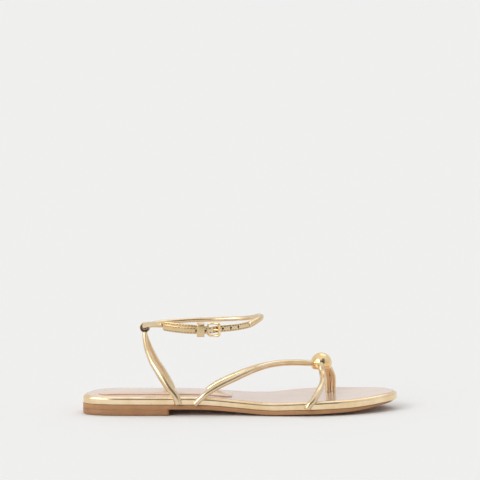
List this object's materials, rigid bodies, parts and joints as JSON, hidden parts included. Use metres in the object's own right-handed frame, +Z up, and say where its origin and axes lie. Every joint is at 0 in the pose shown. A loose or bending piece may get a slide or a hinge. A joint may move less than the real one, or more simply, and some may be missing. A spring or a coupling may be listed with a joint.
{
  "type": "toe-post ankle-strap sandal",
  "caption": "Flat strappy toe-post sandal for the right foot with rolled metallic straps, a ball over the toe post and a buckled ankle strap.",
  "frame": {"origin": "middle of the sandal's box seen from above, on the ground under its sole", "axes": "+X towards the toe, along the outer side of the sole; +Y towards the inner side of the foot; +Z up"},
  "size_m": [0.251, 0.086, 0.078],
  "materials": {
    "tan_sole": "matt tan sole with painted edge",
    "gold_leather": "pale gold foil on leather, glossy with fine creases",
    "nude_sock": "nude smooth lining, half gloss",
    "gold_metal": "polished gold plating"
  },
  "bodies": {
    "root": {"outsole": "tan_sole", "heel_lift": "tan_sole", "footbed": "gold_leather", "sock": "nude_sock", "heel_pad": "nude_sock", "heel_straps": "gold_leather", "vamp_straps": "gold_leather", "toe_straps": "gold_leather", "ball": "gold_metal", "ankle_strap": "gold_leather", "buckle_strap": "gold_leather", "holed_strap": "gold_leather", "keeper": "gold_leather", "buckle_frame": "gold_metal", "buckle_prong": "gold_metal"}
  },
  "joints": []
}
